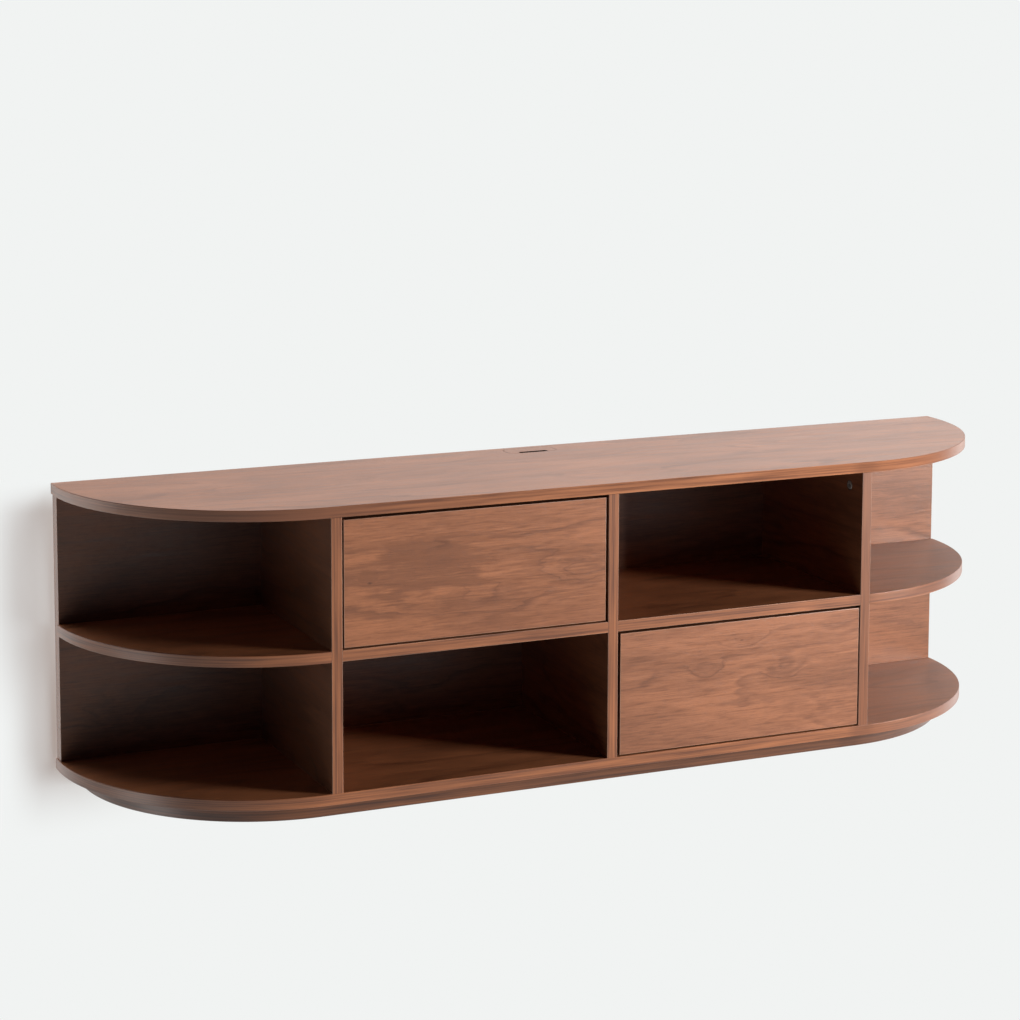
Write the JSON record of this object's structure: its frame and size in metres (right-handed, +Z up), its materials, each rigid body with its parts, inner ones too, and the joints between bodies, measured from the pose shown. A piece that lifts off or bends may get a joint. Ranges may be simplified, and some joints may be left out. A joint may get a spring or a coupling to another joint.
{
  "type": "floating media console",
  "caption": "Wall-hung media console with rounded open ends, open niches, push-to-open drawers and a cable slot in the top.",
  "frame": {"origin": "on the wall plane, at the middle of the back face of the rail that is screwed to the wall", "axes": "+X to the right as seen from the front, -Y out from the wall towards the user, +Z up"},
  "size_m": [1.65, 0.36, 0.5],
  "materials": {
    "walnut_veneer": "walnut veneer under clear matt lacquer, with matching edge band",
    "plinth_walnut": "dark walnut veneer under clear matt lacquer",
    "drawer_board": "walnut-coloured laminate on drawer board",
    "zinc_steel": "zinc-plated folded steel strip",
    "cast_zinc": "plain die-cast zinc",
    "grey_plastic": "moulded grey plastic",
    "rubber_tip": "soft black tip on a plastic plunger"
  },
  "bodies": {
    "cabinet": {"top_panel": "walnut_veneer", "bottom_panel": "walnut_veneer", "back_panel": "walnut_veneer", "left_divider": "walnut_veneer", "centre_divider": "walnut_veneer", "right_divider": "walnut_veneer", "left_end_shelf": "walnut_veneer", "right_end_shelf": "walnut_veneer", "left_bay_shelf": "walnut_veneer", "right_bay_shelf": "walnut_veneer", "plinth_board": "plinth_walnut", "wall_rail": "zinc_steel", "panel_rail": "zinc_steel", "left_drawer_left_fixed_member": "zinc_steel", "left_drawer_right_fixed_member": "zinc_steel", "right_drawer_left_fixed_member": "zinc_steel", "right_drawer_right_fixed_member": "zinc_steel", "left_cam_top_front": "cast_zinc", "left_cam_top_rear": "cast_zinc", "left_cam_bottom_front": "cast_zinc", "left_cam_bottom_rear": "cast_zinc", "centre_cam_top_front": "cast_zinc", "centre_cam_top_rear": "cast_zinc", "centre_cam_bottom_front": "cast_zinc", "centre_cam_bottom_rear": "cast_zinc", "right_cam_top_front": "cast_zinc", "right_cam_top_rear": "cast_zinc", "right_cam_bottom_front": "cast_zinc", "right_cam_bottom_rear": "cast_zinc", "left_drawer_latch_housing": "grey_plastic", "right_drawer_latch_housing": "grey_plastic"},
    "left_drawer": {"left_drawer_front": "walnut_veneer", "left_drawer_left_side": "drawer_board", "left_drawer_right_side": "drawer_board", "left_drawer_back": "drawer_board", "left_drawer_bottom": "drawer_board", "left_drawer_left_box_member": "zinc_steel", "left_drawer_right_box_member": "zinc_steel"},
    "right_drawer": {"right_drawer_front": "walnut_veneer", "right_drawer_left_side": "drawer_board", "right_drawer_right_side": "drawer_board", "right_drawer_back": "drawer_board", "right_drawer_bottom": "drawer_board", "right_drawer_left_box_member": "zinc_steel", "right_drawer_right_box_member": "zinc_steel"},
    "left_drawer_left_middle": {"left_drawer_left_middle_member": "zinc_steel"},
    "left_drawer_right_middle": {"left_drawer_right_middle_member": "zinc_steel"},
    "right_drawer_left_middle": {"right_drawer_left_middle_member": "zinc_steel"},
    "right_drawer_right_middle": {"right_drawer_right_middle_member": "zinc_steel"},
    "left_latch_plunger": {"left_drawer_latch_plunger": "rubber_tip"},
    "right_latch_plunger": {"right_drawer_latch_plunger": "rubber_tip"},
    "cable_cover": {"cable_cover": "walnut_veneer"}
  },
  "joints": [
    {"name": "left_drawer_slide", "type": "slide", "parent": "cabinet", "child": "left_drawer", "axis": [0, -1, 0], "range_m": [-0.003, 0.24]},
    {"name": "right_drawer_slide", "type": "slide", "parent": "cabinet", "child": "right_drawer", "axis": [0, -1, 0], "range_m": [-0.003, 0.24]},
    {"name": "left_drawer_left_middle_slide", "type": "slide", "parent": "cabinet", "child": "left_drawer_left_middle", "axis": [0, -1, 0], "range_m": [-0.0015, 0.12]},
    {"name": "left_drawer_right_middle_slide", "type": "slide", "parent": "cabinet", "child": "left_drawer_right_middle", "axis": [0, -1, 0], "range_m": [-0.0015, 0.12]},
    {"name": "right_drawer_left_middle_slide", "type": "slide", "parent": "cabinet", "child": "right_drawer_left_middle", "axis": [0, -1, 0], "range_m": [-0.0015, 0.12]},
    {"name": "right_drawer_right_middle_slide", "type": "slide", "parent": "cabinet", "child": "right_drawer_right_middle", "axis": [0, -1, 0], "range_m": [-0.0015, 0.12]},
    {"name": "left_latch_plunger_slide", "type": "slide", "parent": "cabinet", "child": "left_latch_plunger", "axis": [0, -1, 0], "range_m": [-0.0005, 0.036]},
    {"name": "right_latch_plunger_slide", "type": "slide", "parent": "cabinet", "child": "right_latch_plunger", "axis": [0, -1, 0], "range_m": [-0.0005, 0.036]},
    {"name": "cable_cover_lift", "type": "slide", "parent": "cabinet", "child": "cable_cover", "axis": [0, 0, 1], "range_m": [0, 0.03]}
  ],
  "couplings": [
    {"joint": "left_drawer_left_middle_slide", "follows": "left_drawer_slide", "ratio": 0.5},
    {"joint": "left_drawer_right_middle_slide", "follows": "left_drawer_slide", "ratio": 0.5},
    {"joint": "right_drawer_left_middle_slide", "follows": "right_drawer_slide", "ratio": 0.5},
    {"joint": "right_drawer_right_middle_slide", "follows": "right_drawer_slide", "ratio": 0.5},
    {"joint": "left_latch_plunger_slide", "follows": "left_drawer_slide", "ratio": 0.15},
    {"joint": "right_latch_plunger_slide", "follows": "right_drawer_slide", "ratio": 0.15}
  ]
}
